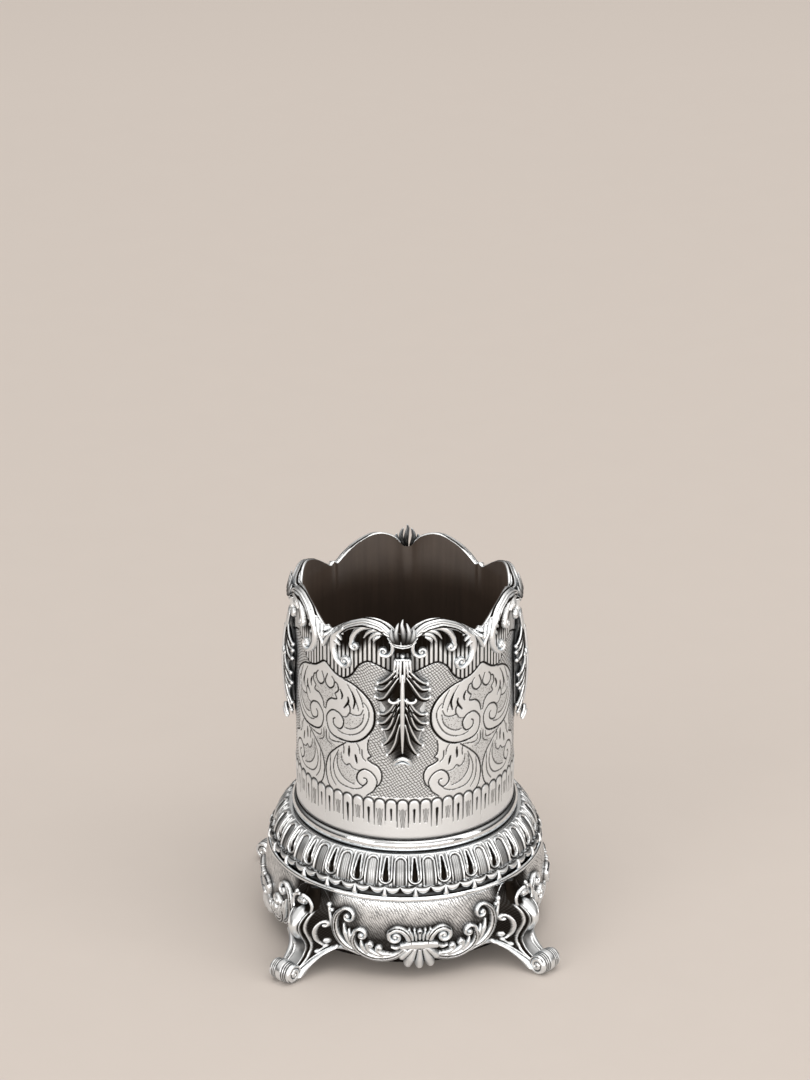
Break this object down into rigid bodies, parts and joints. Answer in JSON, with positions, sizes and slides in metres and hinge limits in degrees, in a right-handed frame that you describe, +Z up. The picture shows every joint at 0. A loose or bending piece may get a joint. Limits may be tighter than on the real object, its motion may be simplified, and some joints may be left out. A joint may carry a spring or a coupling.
{
  "type": "wine bottle coaster",
  "caption": "Tall footed bottle coaster: a scalloped, engraved sleeve with a dark lining turns on a gadrooned base with scroll feet.",
  "frame": {"origin": "on the sleeve's axis, on the floor that the toes stand on", "axes": "+Z up along the sleeve's axis, -Y to the front cartouche, +X to the right"},
  "size_m": [0.1294, 0.1294, 0.1672],
  "materials": {
    "silver": "polished silver plate, blackened in the recesses",
    "lining": "dark brown stained and polished",
    "fastener": "plain steel"
  },
  "bodies": {
    "base": {"shoulder": "silver", "collar_ring": "silver", "gadroon_band": "silver", "leaf_edge_ring": "silver", "band_ring": "silver", "apron": "silver", "cartouche_front": "silver", "cartouche_right": "silver", "cartouche_back": "silver", "cartouche_left": "silver", "spray_front_left": "silver", "spray_front_right": "silver", "spray_right_left": "silver", "spray_right_right": "silver", "spray_back_left": "silver", "spray_back_right": "silver", "spray_left_left": "silver", "spray_left_right": "silver", "foot_front_right": "silver", "foot_back_right": "silver", "foot_back_left": "silver", "foot_front_left": "silver", "foot_studs": "fastener", "foot_nuts": "fastener"},
    "sleeve": {"sleeve_wall": "silver", "sleeve_floor": "silver", "liner_sleeve": "lining", "liner_floor": "lining", "rim_border_front": "silver", "rim_border_right": "silver", "rim_border_back": "silver", "rim_border_left": "silver", "leaf_drop_front": "silver", "leaf_drop_right": "silver", "leaf_drop_back": "silver", "leaf_drop_left": "silver", "centre_stud": "fastener", "centre_washer": "fastener", "centre_nut": "fastener"}
  },
  "joints": [
    {"name": "sleeve_turn", "type": "hinge", "parent": "base", "child": "sleeve", "pos_m": [0, 0, 0.056], "axis": [0, 0, 1], "continuous": true}
  ]
}
